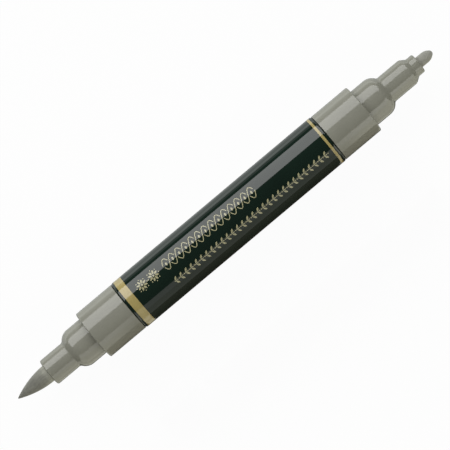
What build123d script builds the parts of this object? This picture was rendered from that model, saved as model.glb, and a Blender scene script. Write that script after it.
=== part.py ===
from build123d import *

import math
import os

# A double-ended felt tip marker without its caps: a round barrel, a turned section at each end, a brush nib,
# a bullet nib, and the fibre ink reservoir that feeds both.
#
# The marker lies along X with its origin at the middle of the barrel's axis. The brush nib points to -X and
# the bullet nib to +X. Each end is drawn pointing to +X, where x is the distance from the barrel's middle and
# r the distance from the axis, and the brush end's pieces are then turned half round Z. Millimetres.

# --- Barrel -------------------------------------------------------------------------------------------------
BARREL_R = 13.0 / 2
BARREL_END = 60.84 / 2  # half the barrel's length
BARREL_WALL = 0.9
BARREL_EDGE = 0.6  # rounding of both outer end edges
RIB_COUNT = 6  # ribs that centre the reservoir in the barrel
RIB_WIDTH = 0.8
RIB_HALF_LENGTH = 22.0

# --- Gold bands, let in flush with the barrel ---------------------------------------------------------------
BAND_DEPTH = 0.1
WIDE_BAND = (-29.60, -27.50)  # from x, to x, at the brush end
THIN_BAND = (28.91, 29.53)  # at the bullet end

# --- Both sections: collar, cap seat and shoulder -----------------------------------------------------------
COLLAR_R = 6.40
COLLAR_END = 41.02
COLLAR_EDGE = 0.3
SEAT_R = 5.0  # a cap pushes onto this cylinder
SEAT_END = 45.00
SHOULDER_R = 3.15  # radius of the rounded shoulder, in the plane of the axis
NOZZLE_R = 3.45
NOZZLE_ROOT = 0.8  # hollow rounding where the nozzle leaves the shoulder
SECTION_WALL = 0.8

# --- Both sections: plug that snaps into the barrel ---------------------------------------------------------
PLUG_LENGTH = 6.2
PLUG_CLEARANCE = 0.03
PLUG_LEAD = 0.4  # chamfer on the plug's inner end
BEAD_FROM_END = 3.4  # the snap bead's middle, from the barrel's end
BEAD_WIDTH = 1.0
BEAD_HEIGHT = 0.2

# --- Brush end ----------------------------------------------------------------------------------------------
BRUSH_NOZZLE_END = 54.52
BRUSH_NOZZLE_EDGE = 0.42
BRUSH_R = 2.23
BRUSH_POINT_R = 21.3  # radius of the pointed end's outline, in the plane of the axis
BRUSH_TIP_R = 0.10  # the very tip is blunt
BRUSH_TAPER_FROM = 40.0  # the tail narrows from here towards the reservoir
BRUSH_TAIL_END = 34.0
BRUSH_TAIL_R = 0.9

# --- Bullet end ---------------------------------------------------------------------------------------------
CONE_START = 54.42  # the nozzle narrows to a mouthpiece over this cone
CONE_END = 55.81
CONE_ROUND = 1.5
CONE_HOLLOW = 0.9
MOUTH_R = 2.48
BULLET_NOZZLE_END = 57.63
BULLET_NOZZLE_EDGE = 0.3
BULLET_R = 1.38
BULLET_POINT_FROM = 60.50  # corner between shaft and point, before rounding
BULLET_POINT_ROUND = 2.7
BULLET_POINT_HALF_ANGLE = 40.0
BULLET_TIP_R = 0.80
BULLET_TAPER_FROM = 38.0
BULLET_TAIL_END = 33.0
BULLET_TAIL_R = 0.5

# --- Nib channels -------------------------------------------------------------------------------------------
NIB_CLEARANCE = 0.05  # nibs slide out, so they run free in their ribs and mouths
MOUTH_LENGTH = 1.2
NIB_RIB_COUNT = 6
NIB_RIB_WIDTH = 0.5
NIB_RIB_START = 41.2  # the reservoir's ends stop a little short of the nib ribs
VENT_COUNT = 3  # grooves in each mouth that let air in as ink leaves
VENT_R = 0.28

# --- Reservoir ----------------------------------------------------------------------------------------------
RESERVOIR_END = 40.6
RESERVOIR_R = 4.6
WRAP_THICKNESS = 0.1
WRAP_CLEARANCE = 0.12
TAIL_POCKET_CLEARANCE = 0.15

BORE_R = BARREL_R - BARREL_WALL
WRAP_R = RESERVOIR_R + WRAP_THICKNESS
CHAMBER_R = WRAP_R + WRAP_CLEARANCE  # inside of the plug and the collar
BEAD_X = BARREL_END - BEAD_FROM_END


def outline(edges, rounds=()):
    """The face within a closed half outline; rounds lists (x, r, radius) for each corner to round."""
    face = make_face(edges).face()
    for x, r, radius in rounds:
        corner = face.vertices().sort_by_distance((x, r, 0))[0]
        face = face.fillet_2d(radius, [corner])
    return face


def turned(edges, rounds=()):
    """A solid of revolution about the X axis."""
    return revolve(outline(edges, rounds), Axis.X)


def turned_points(points, rounds=()):
    """A solid of revolution from the (x, r) corners of its half outline."""
    return turned([Polyline(*points, close=True)], rounds)


def rod(radius, start, end):
    """A plain cylinder on the X axis."""
    return turned_points([(start, 0), (end, 0), (end, radius), (start, radius)])


def ring(inner, outer, start, end):
    """A plain tube on the X axis."""
    return turned_points([(start, inner), (end, inner), (end, outer), (start, outer)])


def fins(count, width, inner, outer, start, end):
    """Ribs round the X axis, from radius inner to radius outer."""
    middle = Pos((start + end) / 2, 0, (inner + outer) / 2)
    fin = middle * Box(end - start, width, outer - inner)
    return [Rot(360 / count * n, 0, 0) * fin for n in range(count)]


def brush_side(solid):
    """Turns a piece drawn for the +X end round to the -X end."""
    return Rot(0, 0, 180) * solid


def bead(radius, width, height):
    """The round snap bead, or the groove it clicks into, as a ring of trapezoid section."""
    flank = width / 2 + height
    return turned_points(
        [
            (BEAD_X - flank, radius),
            (BEAD_X - width / 2, radius + height),
            (BEAD_X + width / 2, radius + height),
            (BEAD_X + flank, radius),
            (BEAD_X + flank, radius - BARREL_WALL / 2),
            (BEAD_X - flank, radius - BARREL_WALL / 2),
        ]
    )


def barrel():
    """The printed tube, with flush grooves for the bands, snap grooves and reservoir ribs inside."""
    outer = [(-BARREL_END, BARREL_R, BARREL_EDGE), (BARREL_END, BARREL_R, BARREL_EDGE)]
    corners = [(-BARREL_END, BORE_R), (BARREL_END, BORE_R), (BARREL_END, BARREL_R), (-BARREL_END, BARREL_R)]
    tube = turned_points(corners, outer)
    groove = bead(BORE_R, BEAD_WIDTH, BEAD_HEIGHT)
    tube -= groove
    tube -= brush_side(groove)
    for start, end in (WIDE_BAND, THIN_BAND):
        tube -= ring(BARREL_R - BAND_DEPTH, BARREL_R + 1, start, end)
    for rib in fins(RIB_COUNT, RIB_WIDTH, CHAMBER_R, BORE_R + 0.2, -RIB_HALF_LENGTH, RIB_HALF_LENGTH):
        tube += rib
    return tube


def band(span):
    """One flush gold band."""
    return ring(BARREL_R - BAND_DEPTH, BARREL_R, *span)


def shoulder_arc(seat_r, curve_r, foot_r):
    """The rounded shoulder that starts level with the seat and comes down to foot_r, and where it ends."""
    middle_r = seat_r - curve_r
    sweep = math.degrees(math.acos((foot_r - middle_r) / curve_r))
    arc = CenterArc((SEAT_END, middle_r), curve_r, 90, -sweep)
    return arc, SEAT_END + curve_r * math.sin(math.radians(sweep))


def section_body(nozzle_points, nozzle_rounds):
    """Outside of a section, solid within: plug, collar, cap seat, shoulder, then the nozzle given as
    (x, r) corners from the shoulder's foot outwards."""
    arc, foot_x = shoulder_arc(SEAT_R, SHOULDER_R, NOZZLE_R)
    plug_r = BORE_R - PLUG_CLEARANCE
    plug_start = BARREL_END - PLUG_LENGTH
    back = Polyline(
        (plug_start, 0),
        (plug_start, plug_r - PLUG_LEAD),
        (plug_start + PLUG_LEAD, plug_r),
        (BARREL_END, plug_r),
        (BARREL_END, COLLAR_R),
        (COLLAR_END, COLLAR_R),
        (COLLAR_END, SEAT_R),
        (SEAT_END, SEAT_R),
    )
    front = Polyline((foot_x, NOZZLE_R), *nozzle_points)
    base = Line(nozzle_points[-1], (plug_start, 0))
    rounds = [(COLLAR_END, COLLAR_R, COLLAR_EDGE), (foot_x, NOZZLE_R, NOZZLE_ROOT), *nozzle_rounds]
    return turned([back, arc, front, base], rounds) + bead(plug_r, BEAD_WIDTH - 0.1, BEAD_HEIGHT)


def section_hollow(channel_points):
    """Inside of a section: the reservoir's chamber, then a space that follows the shoulder down to the
    nib channel, given as (x, r) corners from the shoulder's foot outwards."""
    channel_r = channel_points[0][1]
    seat_inside = SEAT_R - SECTION_WALL
    arc, foot_x = shoulder_arc(seat_inside, SHOULDER_R - SECTION_WALL, channel_r)
    start = BARREL_END - PLUG_LENGTH - 1
    back = Polyline(
        (start, 0),
        (start, CHAMBER_R),
        (RESERVOIR_END, CHAMBER_R),
        (NIB_RIB_START, seat_inside),
        (SEAT_END, seat_inside),
    )
    end = channel_points[-1][0]
    front = Polyline((foot_x, channel_r), *channel_points, (end, 0), (start, 0))
    return turned([back, arc, front])


def section(body, channel_points, nib_r, nozzle_end):
    """Hollows out a section's body all but the ribs that grip the nib, then opens its mouth and the
    grooves that let air in."""
    hollow = section_hollow(channel_points)
    for rib in fins(NIB_RIB_COUNT, NIB_RIB_WIDTH, 0, SEAT_R, NIB_RIB_START, nozzle_end):
        hollow -= rib
    fit_r = nib_r + NIB_CLEARANCE
    body -= hollow
    body -= rod(fit_r, NIB_RIB_START - 1, nozzle_end + 1)
    for n in range(VENT_COUNT):
        vent = Pos(0, 0, fit_r) * rod(VENT_R, nozzle_end - MOUTH_LENGTH - 0.5, nozzle_end + 1)
        body -= Rot(360 / VENT_COUNT * n + 180 / NIB_RIB_COUNT, 0, 0) * vent
    return body


def brush_section():
    """Brush end: a plain straight nozzle."""
    outside = [(BRUSH_NOZZLE_END, NOZZLE_R), (BRUSH_NOZZLE_END, 0)]
    rounds = [(BRUSH_NOZZLE_END, NOZZLE_R, BRUSH_NOZZLE_EDGE)]
    channel = [(BRUSH_NOZZLE_END - MOUTH_LENGTH, NOZZLE_R - SECTION_WALL)]
    return section(section_body(outside, rounds), channel, BRUSH_R, BRUSH_NOZZLE_END)


def bullet_section():
    """Bullet end: the nozzle narrows over a rounded cone to a short mouthpiece."""
    outside = [
        (CONE_START, NOZZLE_R),
        (CONE_END, MOUTH_R),
        (BULLET_NOZZLE_END, MOUTH_R),
        (BULLET_NOZZLE_END, 0),
    ]
    rounds = [
        (CONE_START, NOZZLE_R, CONE_ROUND),
        (CONE_END, MOUTH_R, CONE_HOLLOW),
        (BULLET_NOZZLE_END, MOUTH_R, BULLET_NOZZLE_EDGE),
    ]
    channel = [
        (CONE_START - SECTION_WALL / 2, NOZZLE_R - SECTION_WALL),
        (CONE_END - SECTION_WALL / 2, MOUTH_R - SECTION_WALL),
        (BULLET_NOZZLE_END - MOUTH_LENGTH, MOUTH_R - SECTION_WALL),
    ]
    return section(section_body(outside, rounds), channel, BULLET_R, BULLET_NOZZLE_END)


def brush_nib():
    """Soft pointed nib: an ogive of one arc, a straight shaft, and a tail that narrows into the reservoir."""
    centre_r = BRUSH_R - BRUSH_POINT_R
    sweep = math.acos((BRUSH_TIP_R - centre_r) / BRUSH_POINT_R)
    tip_x = BRUSH_NOZZLE_END + BRUSH_POINT_R * math.sin(sweep)
    point = CenterArc((BRUSH_NOZZLE_END, centre_r), BRUSH_POINT_R, 90, -math.degrees(sweep))
    rest = Polyline(
        (tip_x, BRUSH_TIP_R),
        (tip_x, 0),
        (BRUSH_TAIL_END, 0),
        (BRUSH_TAIL_END, BRUSH_TAIL_R),
        (BRUSH_TAPER_FROM, BRUSH_R),
        (BRUSH_NOZZLE_END, BRUSH_R),
    )
    return turned([point, rest], [(tip_x, BRUSH_TIP_R, BRUSH_TIP_R * 0.8)])


def bullet_nib():
    """Firm fibre nib: a straight shaft with a rounded conical point and a narrowing tail."""
    half = math.radians(BULLET_POINT_HALF_ANGLE)
    apex_x = BULLET_POINT_FROM + BULLET_R / math.tan(half)
    tip_x = apex_x - BULLET_TIP_R / math.sin(half)
    tangent_x = tip_x + BULLET_TIP_R * math.sin(half)
    tangent_r = BULLET_TIP_R * math.cos(half)
    tip = CenterArc((tip_x, 0), BULLET_TIP_R, 0, 90 - BULLET_POINT_HALF_ANGLE)
    rest = Polyline(
        (tangent_x, tangent_r),
        (BULLET_POINT_FROM, BULLET_R),
        (BULLET_TAPER_FROM, BULLET_R),
        (BULLET_TAIL_END, BULLET_TAIL_R),
        (BULLET_TAIL_END, 0),
        (tip_x + BULLET_TIP_R, 0),
    )
    return turned([tip, rest], [(BULLET_POINT_FROM, BULLET_R, BULLET_POINT_ROUND)])


def tail_pocket(tail_end, tail_r, taper_from, nib_r):
    """The space that a nib's tail has pressed into the reservoir."""
    gap = TAIL_POCKET_CLEARANCE
    past = RESERVOIR_END + 1
    return turned_points(
        [
            (tail_end - gap, 0),
            (tail_end - gap, tail_r + gap),
            (taper_from, nib_r + gap),
            (past, nib_r + gap),
            (past, 0),
        ]
    )


def ink_reservoir():
    """The fibre rod that holds the ink, pierced at both ends by the nibs' tails."""
    core = rod(RESERVOIR_R, -RESERVOIR_END, RESERVOIR_END)
    core -= tail_pocket(BULLET_TAIL_END, BULLET_TAIL_R, BULLET_TAPER_FROM, BULLET_R)
    core -= brush_side(tail_pocket(BRUSH_TAIL_END, BRUSH_TAIL_R, BRUSH_TAPER_FROM, BRUSH_R))
    return core


def reservoir_wrap():
    """The plastic film round the fibre rod."""
    return ring(RESERVOIR_R, WRAP_R, -RESERVOIR_END, RESERVOIR_END)


PARTS = {
    "barrel": barrel(),
    "wide_gold_band": band(WIDE_BAND),
    "thin_gold_band": band(THIN_BAND),
    "brush_section": brush_side(brush_section()),
    "bullet_section": bullet_section(),
    "brush_nib": brush_side(brush_nib()),
    "bullet_nib": bullet_nib(),
    "ink_reservoir": ink_reservoir(),
    "reservoir_wrap": reservoir_wrap(),
}

os.makedirs("parts", exist_ok=True)
for name, shape in PARTS.items():
    export_step(shape, f"parts/{name}.step")
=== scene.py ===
"""The looks of a double-ended felt tip marker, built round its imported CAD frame."""

import math

import bpy
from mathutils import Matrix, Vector, noise


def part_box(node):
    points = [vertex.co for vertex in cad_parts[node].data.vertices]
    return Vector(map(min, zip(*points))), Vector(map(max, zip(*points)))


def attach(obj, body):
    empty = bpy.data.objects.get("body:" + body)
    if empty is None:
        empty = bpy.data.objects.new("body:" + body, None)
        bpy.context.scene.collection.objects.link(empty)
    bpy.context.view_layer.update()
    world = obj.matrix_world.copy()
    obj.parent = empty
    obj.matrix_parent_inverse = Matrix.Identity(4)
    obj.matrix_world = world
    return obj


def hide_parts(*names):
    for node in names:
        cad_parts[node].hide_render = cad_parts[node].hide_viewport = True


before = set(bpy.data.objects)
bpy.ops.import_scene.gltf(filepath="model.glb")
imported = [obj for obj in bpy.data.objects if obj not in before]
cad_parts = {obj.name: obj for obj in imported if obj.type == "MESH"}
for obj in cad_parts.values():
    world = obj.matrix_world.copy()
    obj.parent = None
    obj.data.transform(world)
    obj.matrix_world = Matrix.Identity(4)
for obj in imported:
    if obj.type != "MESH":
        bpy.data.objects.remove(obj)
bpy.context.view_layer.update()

MM = 0.001
ROOT_BODY = "marker_body"

# --- Sizes read from the frame ----------------------------------------------------------------------------
barrel_low, barrel_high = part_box("barrel")
BARREL_R = barrel_high.z
FLOOR_Z = barrel_low.z

# --- Camera -----------------------------------------------------------------------------------------------
CAMERA_HEIGHT = 0.690
FRAME_WIDTH = 0.10465  # what the picture spans at the pen's axis
PEN_TILT = math.radians(39.986)  # the pen's turn in the picture
LOOK_AT = (-1.06 * MM, 0.02 * MM)
SENSOR_WIDTH = 36.0  # of the camera, in millimetres


def make_camera():
    """A long lens straight above the lying pen."""
    data = bpy.data.cameras.new("camera")
    data.sensor_width = SENSOR_WIDTH
    data.lens = data.sensor_width * CAMERA_HEIGHT / FRAME_WIDTH
    camera = bpy.data.objects.new("camera", data)
    camera.location = (*LOOK_AT, CAMERA_HEIGHT)
    camera.rotation_euler = (0, 0, -PEN_TILT)
    bpy.context.scene.collection.objects.link(camera)
    bpy.context.scene.camera = camera


# --- Light ------------------------------------------------------------------------------------------------
NEUTRAL = (1, 1, 1)
GREENISH = (0.97, 1, 0.97)
WARMISH = (1, 0.99, 0.93)
WARM = (1, 0.985, 0.85)

# Long light panels beside the pen and parallel to it. Each row: name, then its two edges as the pen sees
# them, in degrees from straight up towards +Y, then its two ends along X in metres, its radiance, its tint.
LIGHTS = (
    ("key_softbox", 28.7, 77.9, -0.53, 0.62, 3.36, NEUTRAL),
    ("low_card_a", 92, 104, -0.62, 0.62, 0.32, GREENISH),
    ("low_card_b", 104, 118, -0.62, 0.62, 1.28, GREENISH),
    ("low_card_c", 118, 132, -0.62, 0.62, 0.74, GREENISH),
    ("low_card_d", 132, 165, -0.62, 0.62, 0.60, GREENISH),
    ("fill_high_middle", -62, -39.7, -0.055, 0.055, 0.76, WARMISH),
    ("fill_high_left", -62, -39.7, -0.62, -0.055, 1.52, WARMISH),
    ("fill_high_right", -62, -39.7, 0.055, 0.62, 2.24, WARMISH),
    ("fill_low_middle", -90, -62, -0.055, 0.055, 0.59, WARM),
    ("fill_low_left", -90, -62, -0.62, -0.055, 1.50, WARM),
    ("fill_low_right", -90, -62, 0.055, 0.62, 1.92, WARM),
    ("back_card_high", -108, -90, -0.62, 0.62, 1.62, WARM),
    ("back_card_low", -150, -108, -0.62, 0.62, 0.90, WARM),
)
PANEL_DISTANCE = 0.45

# The dark strips beside the pen
FLAG_SPANS = ((-42.3, -30.5), (-28.6, 29.95), (30.45, 42.3))  # along X, in millimetres
FLAG_Y = -25 * MM
FLAG_TOP = 4.4 * MM
FLAG_FOOT = -60 * MM
FLAG_FADE = (-22 * MM, 4 * MM)  # the heights between which they turn from dark to pale
FLAG_DARK = (0.05, 0.04, 0.03)
FLAG_PALE = (0.20, 0.175, 0.135)

# What surrounds the pen
BACKDROP = (0.98, 0.98, 0.98)  # what the camera sees behind it
GLOW = (0.9, 0.95, 1)  # what surrounds the pen as far as its own light and gloss go
GLOW_STRENGTH = 0.045
FLOOR_HALF = 3.0
FLOOR_GREY = (0.02, 0.02, 0.02)
FLOOR_STRENGTH = 0.965


def strip_light(name, start, end, x_from, x_to, radiance, colour):
    """One panel of LIGHTS, facing the pen."""
    middle = math.radians((start + end) / 2)
    half = math.radians((end - start) / 2)
    data = bpy.data.lights.new(name, "AREA")
    data.shape = "RECTANGLE"
    data.size = x_to - x_from
    data.size_y = 2 * PANEL_DISTANCE * math.tan(half)
    data.energy = radiance * math.pi * data.size * data.size_y
    data.color = colour
    light = bpy.data.objects.new(name, data)
    light.location = (
        (x_from + x_to) / 2,
        PANEL_DISTANCE * math.sin(middle),
        PANEL_DISTANCE * math.cos(middle),
    )
    light.rotation_euler = (-middle, 0, 0)
    light.visible_camera = False
    bpy.context.scene.collection.objects.link(light)


def make_flag():
    """Dark strips close beside the barrel and collars, which keep the low light off their -Y side. They
    fade from a warm grey at their top to nearly black. Slots between them let light reach the gold bands."""
    points, faces = [], []
    for start, end in FLAG_SPANS:
        n = len(points)
        corners = ((start, FLAG_FOOT), (end, FLAG_FOOT), (end, FLAG_TOP), (start, FLAG_TOP))
        points += [(x * MM, FLAG_Y, z) for x, z in corners]
        faces.append((n, n + 1, n + 2, n + 3))
    mesh = bpy.data.meshes.new("black_flag")
    mesh.from_pydata(points, [], faces)
    flag = bpy.data.objects.new("black_flag", mesh)
    bpy.context.scene.collection.objects.link(flag)
    flag.visible_camera = False
    material, nodes, links, shader = principled("flag_black")
    where = nodes.new("ShaderNodeTexCoord")
    split = nodes.new("ShaderNodeSeparateXYZ")
    links.new(where.outputs["Object"], split.inputs["Vector"])
    height = spread(nodes, links, split.outputs["Z"], 0, 1, *FLAG_FADE)
    links.new(tint(nodes, links, height, FLAG_DARK, FLAG_PALE, 0, 1), shader.inputs["Base Color"])
    shader.inputs["Roughness"].default_value = 1.0
    shader.inputs["Specular IOR Level"].default_value = 0.0
    mesh.materials.append(material)


def make_world():
    """Surroundings that are pale to the camera and nearly dark to the pen."""
    world = bpy.data.worlds.new("studio")
    world.use_nodes = True
    nodes, links = world.node_tree.nodes, world.node_tree.links
    nodes.clear()
    out = nodes.new("ShaderNodeOutputWorld")
    pale = nodes.new("ShaderNodeBackground")
    pale.inputs["Color"].default_value = (*BACKDROP, 1)
    dim = nodes.new("ShaderNodeBackground")
    dim.inputs["Color"].default_value = (*GLOW, 1)
    dim.inputs["Strength"].default_value = GLOW_STRENGTH
    path = nodes.new("ShaderNodeLightPath")
    mix = nodes.new("ShaderNodeMixShader")
    links.new(path.outputs["Is Camera Ray"], mix.inputs[0])
    links.new(dim.outputs[0], mix.inputs[1])
    links.new(pale.outputs[0], mix.inputs[2])
    links.new(mix.outputs[0], out.inputs["Surface"])
    bpy.context.scene.world = world


def make_floor():
    """A plain pale floor under the pen. It glows evenly, takes hardly a shadow, neither lights the pen nor
    shows in its gloss, and lets a view from below through."""
    mesh = bpy.data.meshes.new("floor")
    half = FLOOR_HALF
    corners = ((-half, -half), (half, -half), (half, half), (-half, half))
    mesh.from_pydata([(x, y, FLOOR_Z) for x, y in corners], [], [(0, 1, 2, 3)])
    floor = bpy.data.objects.new("floor", mesh)
    bpy.context.scene.collection.objects.link(floor)
    floor.visible_glossy = False
    floor.visible_diffuse = False
    floor.visible_shadow = False
    material = bpy.data.materials.new("floor_white")
    material.use_nodes = True
    nodes, links = material.node_tree.nodes, material.node_tree.links
    nodes.clear()
    out = nodes.new("ShaderNodeOutputMaterial")
    diffuse = nodes.new("ShaderNodeBsdfDiffuse")
    diffuse.inputs["Color"].default_value = (*FLOOR_GREY, 1)
    glow = nodes.new("ShaderNodeEmission")
    glow.inputs["Strength"].default_value = FLOOR_STRENGTH
    add = nodes.new("ShaderNodeAddShader")
    links.new(diffuse.outputs[0], add.inputs[0])
    links.new(glow.outputs[0], add.inputs[1])
    clear = nodes.new("ShaderNodeBsdfTransparent")
    side = nodes.new("ShaderNodeNewGeometry")
    mix = nodes.new("ShaderNodeMixShader")
    links.new(side.outputs["Backfacing"], mix.inputs[0])
    links.new(add.outputs[0], mix.inputs[1])
    links.new(clear.outputs[0], mix.inputs[2])
    links.new(mix.outputs[0], out.inputs["Surface"])
    mesh.materials.append(material)


# --- Materials --------------------------------------------------------------------------------------------
def principled(name):
    """A new material, with its nodes, its links and its shader."""
    material = bpy.data.materials.new(name)
    material.use_nodes = True
    nodes = material.node_tree.nodes
    return material, nodes, material.node_tree.links, nodes["Principled BSDF"]


def grain(nodes, links, scale, detail=2.0, distort=0.0):
    """Noise in the object's own space. scale is in features per metre along X, Y and Z."""
    where = nodes.new("ShaderNodeTexCoord")
    stretch = nodes.new("ShaderNodeMapping")
    stretch.inputs["Scale"].default_value = scale
    links.new(where.outputs["Object"], stretch.inputs["Vector"])
    texture = nodes.new("ShaderNodeTexNoise")
    texture.inputs["Scale"].default_value = 1.0
    texture.inputs["Detail"].default_value = detail
    texture.inputs["Distortion"].default_value = distort
    links.new(stretch.outputs["Vector"], texture.inputs["Vector"])
    return texture.outputs["Fac"]


def spread(nodes, links, value, low, high, start=0.3, end=0.7):
    """Stretches the useful middle of a noise value over low to high."""
    remap = nodes.new("ShaderNodeMapRange")
    remap.inputs["From Min"].default_value = start
    remap.inputs["From Max"].default_value = end
    remap.inputs["To Min"].default_value = low
    remap.inputs["To Max"].default_value = high
    links.new(value, remap.inputs["Value"])
    return remap.outputs["Result"]


def tint(nodes, links, value, dark, light, start=0.3, end=0.7):
    """A colour between dark and light, led by a noise value."""
    ramp = nodes.new("ShaderNodeValToRGB")
    ramp.color_ramp.elements[0].position = start
    ramp.color_ramp.elements[0].color = (*dark, 1)
    ramp.color_ramp.elements[1].position = end
    ramp.color_ramp.elements[1].color = (*light, 1)
    links.new(value, ramp.inputs["Fac"])
    return ramp.outputs["Color"]


def relief(nodes, links, value, depth, under=None):
    """Bumps of the given depth in metres, over the bumps under them."""
    bump = nodes.new("ShaderNodeBump")
    bump.inputs["Distance"].default_value = depth
    links.new(value, bump.inputs["Height"])
    if under is not None:
        links.new(under, bump.inputs["Normal"])
    return bump.outputs["Normal"]


def multiply(nodes, links, first, second, amount):
    """The first colour multiplied by the second, as much as amount says."""
    mix = nodes.new("ShaderNodeMix")
    mix.data_type = "RGBA"
    mix.blend_type = "MULTIPLY"
    mix.inputs["Factor"].default_value = amount
    links.new(first, mix.inputs["A"])
    links.new(second, mix.inputs["B"])
    return mix.outputs["Result"]


def shade(colour, factor):
    """A colour made darker or lighter."""
    return tuple(channel * factor for channel in colour)


def make_barrel_green(colour=(0.0055, 0.0125, 0.0085)):
    """Glossy lacquer over a dark green tube: faint orange peel, handling marks and hairlines."""
    material, nodes, links, shader = principled("barrel_green")
    clouds = grain(nodes, links, (90, 90, 90), 3)
    base = tint(nodes, links, clouds, shade(colour, 0.9), shade(colour, 1.12))
    links.new(base, shader.inputs["Base Color"])
    smears = grain(nodes, links, (120, 420, 420), 4, 0.6)
    links.new(spread(nodes, links, smears, 0.045, 0.085), shader.inputs["Roughness"])
    peel = relief(nodes, links, grain(nodes, links, (520, 520, 520), 1), 1.2e-6)
    hairs = relief(nodes, links, grain(nodes, links, (150, 5200, 5200), 2), 0.12e-6, peel)
    links.new(hairs, shader.inputs["Normal"])
    return material


def make_section_grey(colour=(0.203, 0.203, 0.169)):
    """Smooth moulded plastic in a warm grey, with a fine eroded grain and slight flow clouds."""
    material, nodes, links, shader = principled("section_grey")
    flow = grain(nodes, links, (160, 260, 260), 3, 0.4)
    specks = grain(nodes, links, (5200, 5200, 5200), 2)
    base = tint(nodes, links, flow, shade(colour, 0.97), shade(colour, 1.03))
    fleck = tint(nodes, links, specks, (0.93, 0.93, 0.93), (1, 1, 1))
    links.new(multiply(nodes, links, base, fleck, 0.6), shader.inputs["Base Color"])
    links.new(spread(nodes, links, specks, 0.07, 0.12), shader.inputs["Roughness"])
    swell = relief(nodes, links, grain(nodes, links, (300, 300, 300), 1), 0.8e-6)
    links.new(relief(nodes, links, specks, 0.4e-6, swell), shader.inputs["Normal"])
    return material


def make_gold_foil(name, colour):
    """Hot-stamped pale gold foil under clear lacquer: fine stamping grain and thin rubbed streaks."""
    material, nodes, links, shader = principled(name)
    stamp = grain(nodes, links, (7000, 7000, 7000), 2)
    rubbed = grain(nodes, links, (2600, 300, 300), 3, 0.3)
    base = tint(nodes, links, stamp, shade(colour, 0.94), shade(colour, 1.06))
    worn = tint(nodes, links, rubbed, (0.9, 0.89, 0.86), (1, 1, 1))
    links.new(multiply(nodes, links, base, worn, 0.7), shader.inputs["Base Color"])
    links.new(spread(nodes, links, stamp, 0.4, 0.5), shader.inputs["Roughness"])
    shader.inputs["Metallic"].default_value = 0.03
    shader.inputs["Specular IOR Level"].default_value = 0.1
    shader.inputs["Coat Weight"].default_value = 1.0
    shader.inputs["Coat IOR"].default_value = 1.58
    shader.inputs["Coat Roughness"].default_value = 0.06
    links.new(relief(nodes, links, stamp, 1.5e-6), shader.inputs["Normal"])
    return material


# How pale the brush fibre is along its nib: (x in metres, factor), from its tip to behind its mouth. The
# steep rise just outside the mouth is painted light against the shade the nozzle casts there; towards its
# tip the fibre is darker.
BRUSH_TONE_AND_PAINTED_LIGHT_STOPS = (
    (-0.0637, 0.52),
    (-0.0628, 0.72),
    (-0.0605, 0.73),
    (-0.0580, 0.76),
    (-0.0568, 0.84),
    (-0.0563, 0.97),
    (-0.0558, 1.04),
    (-0.0553, 1.36),
    (-0.0549, 1.64),
    (-0.0546, 1.85),
    (-0.04, 1.5),
)


def along_x(nodes, links, stops):
    """Grey factors along the object's X axis: stops lists (x, factor) in metres, from low x to high."""
    where = nodes.new("ShaderNodeTexCoord")
    split = nodes.new("ShaderNodeSeparateXYZ")
    links.new(where.outputs["Object"], split.inputs["Vector"])
    first, last = stops[0], stops[-1]
    share = spread(nodes, links, split.outputs["X"], 0, 1, first[0], last[0])
    ramp = nodes.new("ShaderNodeValToRGB")
    ramp.color_ramp.interpolation = "EASE"
    elements = ramp.color_ramp.elements
    elements[0].color = (first[1], first[1], first[1], 1)
    elements[1].color = (last[1], last[1], last[1], 1)
    for x, factor in stops[1:-1]:
        element = elements.new((x - first[0]) / (last[0] - first[0]))
        element.color = (factor, factor, factor, 1)
    links.new(share, ramp.inputs["Fac"])
    return ramp.outputs["Color"]


def make_fibre(name, colour, along, across, contrast, depth, weave=0.0, blotted=0.86, stops=None):
    """Bonded fibre soaked in ink. along and across say how short and how fine its fibres are, per metre,
    and blotted how dark its wettest patches are."""
    material, nodes, links, shader = principled(name)
    strands = grain(nodes, links, (along, across, across), 3, weave)
    blots = grain(nodes, links, (700, 900, 900), 4, 0.8)
    base = tint(nodes, links, strands, shade(colour, 1 - contrast), shade(colour, 1 + contrast))
    soak = tint(nodes, links, blots, (blotted, blotted, blotted), (1, 1, 1))
    soaked = multiply(nodes, links, base, soak, 1.0)
    # For the brush, these stops paint light just outside its mouth, against the nozzle's shade, and darken
    # it towards its tip
    if stops:
        soaked = multiply(nodes, links, soaked, along_x(nodes, links, stops), 1.0)
    links.new(soaked, shader.inputs["Base Color"])
    links.new(spread(nodes, links, strands, 0.72, 0.95), shader.inputs["Roughness"])
    shader.inputs["Specular IOR Level"].default_value = 0.3
    shader.inputs["Sheen Weight"].default_value = 0.25
    shader.inputs["Sheen Roughness"].default_value = 0.6
    links.new(relief(nodes, links, strands, depth), shader.inputs["Normal"])
    return material


def make_clear_film():
    """Thin clear film with faint crinkles along it."""
    material, nodes, links, shader = principled("clear_film")
    crinkle = grain(nodes, links, (180, 1500, 1500), 3, 0.5)
    base = tint(nodes, links, crinkle, (0.80, 0.82, 0.82), (0.92, 0.93, 0.93))
    links.new(base, shader.inputs["Base Color"])
    links.new(spread(nodes, links, crinkle, 0.08, 0.2), shader.inputs["Roughness"])
    links.new(relief(nodes, links, crinkle, 6e-6), shader.inputs["Normal"])
    shader.inputs["Alpha"].default_value = 0.35
    return material


def dress(node, material):
    """Gives a CAD node its material."""
    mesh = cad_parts[node].data
    mesh.materials.clear()
    mesh.materials.append(material)


# --- Nibs -------------------------------------------------------------------------------------------------
def link_piece(name, mesh, body, material, sharp=40):
    """Puts a new piece in the scene. Edges sharper than sharp degrees stay sharp."""
    mesh.materials.append(material)
    mesh.polygons.foreach_set("use_smooth", [True] * len(mesh.polygons))
    mesh.set_sharp_from_angle(angle=math.radians(sharp))
    piece = bpy.data.objects.new(name, mesh)
    bpy.context.scene.collection.objects.link(piece)
    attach(piece, body)
    return piece


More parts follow.
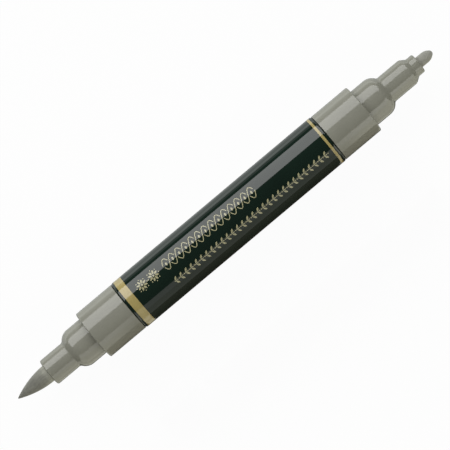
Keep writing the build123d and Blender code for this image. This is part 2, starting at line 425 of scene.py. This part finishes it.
def lathe(name, stations, sides, skin):
    """A closed mesh round the X axis. stations lists (x, r) from one end to the other, and
    skin(x, r, angle) gives the radius there. Both ends close on the axis."""
    points, faces = [], []
    for x, r in stations:
        for k in range(sides):
            angle = 2 * math.pi * k / sides
            radius = skin(x, r, angle)
            points.append((x, radius * math.cos(angle), radius * math.sin(angle)))
    for i in range(len(stations) - 1):
        for k in range(sides):
            a, b = i * sides + k, i * sides + (k + 1) % sides
            faces.append((a, b, b + sides, a + sides))
    first, last = len(points), len(points) + 1
    points.append((stations[0][0], 0, 0))
    points.append((stations[-1][0], 0, 0))
    end = (len(stations) - 1) * sides
    for k in range(sides):
        faces.append((first, (k + 1) % sides, k))
        faces.append((last, end + k, end + (k + 1) % sides))
    if stations[-1][0] < stations[0][0]:
        faces = [face[::-1] for face in faces]
    mesh = bpy.data.meshes.new(name)
    mesh.from_pydata(points, [], faces)
    mesh.validate()
    return mesh


def spaced(start, end, step):
    """Even values from start to end, about step apart."""
    count = max(1, round(abs(end - start) / step))
    return [start + (end - start) * n / count for n in range(count + 1)]


SHAFT_STEP = 0.8 * MM  # how far apart the rings of both nibs' straight shafts are

BRUSH_R = 2.23 * MM
BRUSH_POINT_FROM = 54.52 * MM  # the mouth of its nozzle, where the pointed end starts
BRUSH_POINT_R = 21.3 * MM
BRUSH_TIP_R = 0.10 * MM
BRUSH_TAPER_FROM = 40.0 * MM
BRUSH_TAIL_END = 34.0 * MM
BRUSH_TAIL_R = 0.9 * MM
BRUSH_TAIL_STEP = 0.6 * MM
BRUSH_POINT_STEP = 0.12 * MM
BRUSH_SIDES = 180
BUNDLE_DEPTH = 0.018 * MM  # of the grooves between bundles of fibre
STRAND_DEPTH = 0.012 * MM  # of the finer grooves within them


def brush_outline():
    """Tapered tail, straight shaft, then a point of one arc, towards -X."""
    centre_r = BRUSH_R - BRUSH_POINT_R
    sweep = math.acos((BRUSH_TIP_R - centre_r) / BRUSH_POINT_R)
    tip_x = BRUSH_POINT_FROM + BRUSH_POINT_R * math.sin(sweep)
    outline = []
    for x in spaced(BRUSH_TAIL_END, BRUSH_TAPER_FROM, BRUSH_TAIL_STEP):
        share = (x - BRUSH_TAIL_END) / (BRUSH_TAPER_FROM - BRUSH_TAIL_END)
        outline.append((-x, BRUSH_TAIL_R + share * (BRUSH_R - BRUSH_TAIL_R)))
    for x in spaced(BRUSH_TAPER_FROM, BRUSH_POINT_FROM - 0.4 * MM, SHAFT_STEP)[1:]:
        outline.append((-x, BRUSH_R))
    for x in spaced(BRUSH_POINT_FROM - 0.2 * MM, tip_x - 0.02 * MM, BRUSH_POINT_STEP):
        run = max(0.0, x - BRUSH_POINT_FROM)
        outline.append((-x, centre_r + math.sqrt(BRUSH_POINT_R**2 - run**2)))
    outline.append((-tip_x, BRUSH_TIP_R * 0.6))
    return outline


def brush_skin(x, r, angle):
    """Fine grooves along the fibre. They run together towards the tip."""
    around = Vector((math.cos(angle), math.sin(angle), 0))
    bundles = noise.noise(around * 5.5 + Vector((0, 0, x * 90)))
    strands = noise.noise(around * 19 + Vector((0, 0, x * 160)))
    depth = BUNDLE_DEPTH * (0.5 - bundles) + STRAND_DEPTH * (0.5 - strands)
    return r - max(0.0, depth) * min(1.0, r / BRUSH_R + 0.15)


BULLET_R = 1.38 * MM
BULLET_POINT_FROM = 60.50 * MM
BULLET_POINT_ROUND = 2.7 * MM
BULLET_POINT_HALF = math.radians(40)
BULLET_TIP_R = 0.80 * MM
BULLET_TAPER_FROM = 38.0 * MM
BULLET_TAIL_END = 33.0 * MM
BULLET_TAIL_R = 0.5 * MM
BULLET_FINE_FROM = 57 * MM  # its rings are closer from here, just inside its mouth, to its tip
BULLET_TAIL_STEP = 0.5 * MM
BULLET_FINE_STEP = 0.1 * MM
BULLET_SIDES = 120
PIT_DEPTH = 0.010 * MM


def bullet_outline():
    """Tapered tail, straight shaft, rounded corner, cone and rounded tip, towards +X."""
    turn = BULLET_POINT_HALF  # how far the outline turns at the corner
    tangent = BULLET_POINT_ROUND * math.tan(turn / 2)
    arc_from = BULLET_POINT_FROM - tangent
    apex = BULLET_POINT_FROM + BULLET_R / math.tan(BULLET_POINT_HALF)
    tip = apex - BULLET_TIP_R / math.sin(BULLET_POINT_HALF)
    outline = []
    for x in spaced(BULLET_TAIL_END, BULLET_TAPER_FROM, BULLET_TAIL_STEP):
        share = (x - BULLET_TAIL_END) / (BULLET_TAPER_FROM - BULLET_TAIL_END)
        outline.append((x, BULLET_TAIL_R + share * (BULLET_R - BULLET_TAIL_R)))
    for x in spaced(BULLET_TAPER_FROM, BULLET_FINE_FROM, SHAFT_STEP)[1:]:
        outline.append((x, BULLET_R))
    for x in spaced(BULLET_FINE_FROM, arc_from, BULLET_FINE_STEP)[1:]:
        outline.append((x, BULLET_R))
    for a in spaced(0, turn, math.radians(2.5))[1:]:
        x = arc_from + BULLET_POINT_ROUND * math.sin(a)
        outline.append((x, BULLET_R - BULLET_POINT_ROUND * (1 - math.cos(a))))
    for a in spaced(math.pi / 2 - BULLET_POINT_HALF, math.radians(8), math.radians(5)):
        outline.append((tip + BULLET_TIP_R * math.cos(a), BULLET_TIP_R * math.sin(a)))
    return outline


def bullet_skin(x, r, angle):
    """A finely pitted skin."""
    place = Vector((x, r * math.cos(angle), r * math.sin(angle)))
    pits = noise.noise(place * 3800) + 0.5 * noise.noise(place * 8000)
    return r - PIT_DEPTH * max(0.0, 0.35 - pits) * min(1.0, 2 * r / BULLET_R)


def make_nibs(brush_fibre, bullet_fibre):
    """The two nibs, each in place of its plain CAD node."""
    brush = lathe("brush_nib_fibres", brush_outline(), BRUSH_SIDES, brush_skin)
    piece = link_piece("brush_nib_fibres", brush, "brush_nib_body", brush_fibre, 70)
    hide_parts("brush_nib")
    bullet = lathe("bullet_nib_fibres", bullet_outline(), BULLET_SIDES, bullet_skin)
    piece = link_piece("bullet_nib_fibres", bullet, "bullet_nib_body", bullet_fibre, 70)
    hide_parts("bullet_nib")


# --- Foil ornaments stamped on the barrel -----------------------------------------------------------------
FOIL_TOP = BARREL_R + 0.004 * MM
FOIL_UNDER = BARREL_R - 0.03 * MM


class Foil:
    """Thin closed slabs of foil bent round the barrel, drawn flat: u runs along the barrel, v round it
    towards +Y from the line along its top, both in millimetres."""

    def __init__(self):
        self.points = []
        self.faces = []

    def bend(self, u, v, radius):
        """The point that lies at (u, v) once the foil is bent to radius."""
        angle = v * MM / BARREL_R
        return (u * MM, radius * math.sin(angle), radius * math.cos(angle))

    def strip(self, rails):
        """A slab between two edges. rails lists ((u, v), (u, v)) across the stroke, from start to end."""
        base = len(self.points)
        for left, right in rails:
            corners = ((left, FOIL_TOP), (right, FOIL_TOP), (right, FOIL_UNDER), (left, FOIL_UNDER))
            for (u, v), radius in corners:
                self.points.append(self.bend(u, v, radius))
        for i in range(len(rails) - 1):
            a = base + 4 * i
            for k in range(4):
                m = (k + 1) % 4
                self.faces.append((a + k, a + m, a + 4 + m, a + 4 + k))
        last = base + 4 * (len(rails) - 1)
        self.faces.append((base + 3, base + 2, base + 1, base))
        self.faces.append((last, last + 1, last + 2, last + 3))

    def stroke(self, path, width):
        """A stroke along a path of (u, v); width(share) is its width at that share of the way."""
        rails = []
        for i, (u, v) in enumerate(path):
            u0, v0 = path[max(0, i - 1)]
            u1, v1 = path[min(len(path) - 1, i + 1)]
            length = math.hypot(u1 - u0, v1 - v0)
            side = ((v0 - v1) / length, (u1 - u0) / length)
            half = width(i / (len(path) - 1)) / 2
            du, dv = side[0] * half, side[1] * half
            rails.append(((u + du, v + dv), (u - du, v - dv)))
        self.strip(rails)

    def leaf(self, u, v, angle, length, width):
        """A pointed petal that starts at (u, v) and lies along angle."""
        steps = 9
        path = []
        for n in range(steps + 1):
            reach = length * n / steps
            path.append((u + reach * math.cos(angle), v + reach * math.sin(angle)))
        self.stroke(path, lambda share: 0.03 + width * math.sin(math.pi * share) ** 0.8)

    def dot(self, u, v, radius):
        """A small round spot, from 12 degrees after one end to 12 before the other."""
        rails = []
        for n in range(9):
            a = math.radians(12 + 156 * n / 8)
            along, reach = u - radius * math.cos(a), radius * math.sin(a)
            rails.append(((along, v + reach), (along, v - reach)))
        self.strip(rails)

    def mesh(self, name):
        """All slabs as one mesh."""
        mesh = bpy.data.meshes.new(name)
        mesh.from_pydata(self.points, [], self.faces)
        mesh.validate()
        return mesh


def rosette(foil, u, v, size):
    """Eight petals round a spot, with small drops between their tips."""
    foil.dot(u, v, 0.13 * size)
    for n in range(8):
        angle = math.pi / 4 * n + math.pi / 8
        start = 0.24 * size
        foil.leaf(u + start * math.cos(angle), v + start * math.sin(angle), angle, 0.62 * size, 0.27 * size)
        between = angle + math.pi / 8
        foil.dot(u + 0.93 * size * math.cos(between), v + 0.93 * size * math.sin(between), 0.085 * size)


def braid(foil, u_from, u_to, v, height, waves, width):
    """Two strands that weave over and under each other, with a lozenge in each loop. k counts half waves,
    and the strands cross at every whole one."""
    pitch = (u_to - u_from) / waves
    gap = 0.11  # of half a wave, each side of a crossing, where the lower strand is hidden
    for strand in (0, 1):
        hidden = [k for k in range(2 * waves + 1) if (k + strand) % 2]
        starts = [0.0] * (1 - strand) + [k + gap for k in hidden[: len(hidden) - strand]]
        ends = [k - gap for k in hidden[strand:]] + [2.0 * waves] * (1 - strand)
        for start, end in zip(starts, ends):
            path = []
            for k in spaced(start, end, 1 / 15):
                swing = math.sin(math.pi * k) * (1 if strand == 0 else -1)
                path.append((u_from + pitch / 2 * k, v + height / 2 * swing))
            foil.stroke(path, lambda share: width)
    for n in range(2 * waves):
        u = u_from + pitch / 2 * (n + 0.5)
        reach = pitch * 0.075
        foil.leaf(u, v - reach * 1.5, math.pi / 2, reach * 3.0, reach * 1.5)


def garland(foil, u_from, u_to, v, height, count, width):
    """Small leaves in slanting pairs along a broken stem, with a spot between the pairs."""
    pitch = (u_to - u_from) / count
    for n in range(count):
        u = u_from + pitch * n
        foil.stroke([(u + pitch * 0.08 * k, v) for k in range(9)], lambda share: width * 0.6)
        for side in (1, -1):
            angle = math.radians(52) * side
            lift = side * width * 0.55
            foil.leaf(u + pitch * 0.18, v + lift, angle, height * 0.56, width * 1.5)
        foil.dot(u + pitch * 0.86, v, width * 0.5)


def make_ornaments(material):
    """Two rosettes and a braid in one row, and a garland in a row beside them."""
    rosettes, plait, leaves = Foil(), Foil(), Foil()
    for u in (-24.6, -21.2):
        rosette(rosettes, u, v=1.72, size=1.62)
    braid(plait, u_from=-18.2, u_to=9.4, v=1.9, height=2.95, waves=7, width=0.19)
    garland(leaves, u_from=-18.3, u_to=28.0, v=-2.63, height=1.9, count=30, width=0.28)
    for name, foil in (("foil_rosettes", rosettes), ("foil_braid", plait), ("foil_garland", leaves)):
        link_piece(name, foil.mesh(name), ROOT_BODY, material)


# --- The scene --------------------------------------------------------------------------------------------
make_camera()
for light_row in LIGHTS:
    strip_light(*light_row)
make_flag()
make_world()
make_floor()
bpy.context.scene.view_settings.view_transform = "Standard"

green = make_barrel_green()
grey = make_section_grey()
gold = make_gold_foil("gold_foil", (0.325, 0.264, 0.101))
pale_gold = make_gold_foil("gold_print", (0.335, 0.318, 0.186))
brush_fibre = make_fibre(
    "brush_fibre",
    (0.205, 0.205, 0.172),
    along=260,
    across=5200,
    contrast=0.18,
    depth=6e-6,
    blotted=0.78,
    stops=BRUSH_TONE_AND_PAINTED_LIGHT_STOPS,
)
bullet_fibre = make_fibre(
    "bullet_fibre", (0.25, 0.25, 0.216), along=4200, across=5200, contrast=0.10, depth=4e-6
)
reservoir_fibre = make_fibre(
    "reservoir_fibre", (0.34, 0.34, 0.32), along=120, across=2600, contrast=0.22, depth=2e-5, weave=0.4
)
dress("barrel", green)
dress("wide_gold_band", gold)
dress("thin_gold_band", gold)
dress("brush_section", grey)
dress("bullet_section", grey)
dress("brush_nib", brush_fibre)
dress("bullet_nib", bullet_fibre)
dress("ink_reservoir", reservoir_fibre)
dress("reservoir_wrap", make_clear_film())
make_nibs(brush_fibre, bullet_fibre)
make_ornaments(pale_gold)
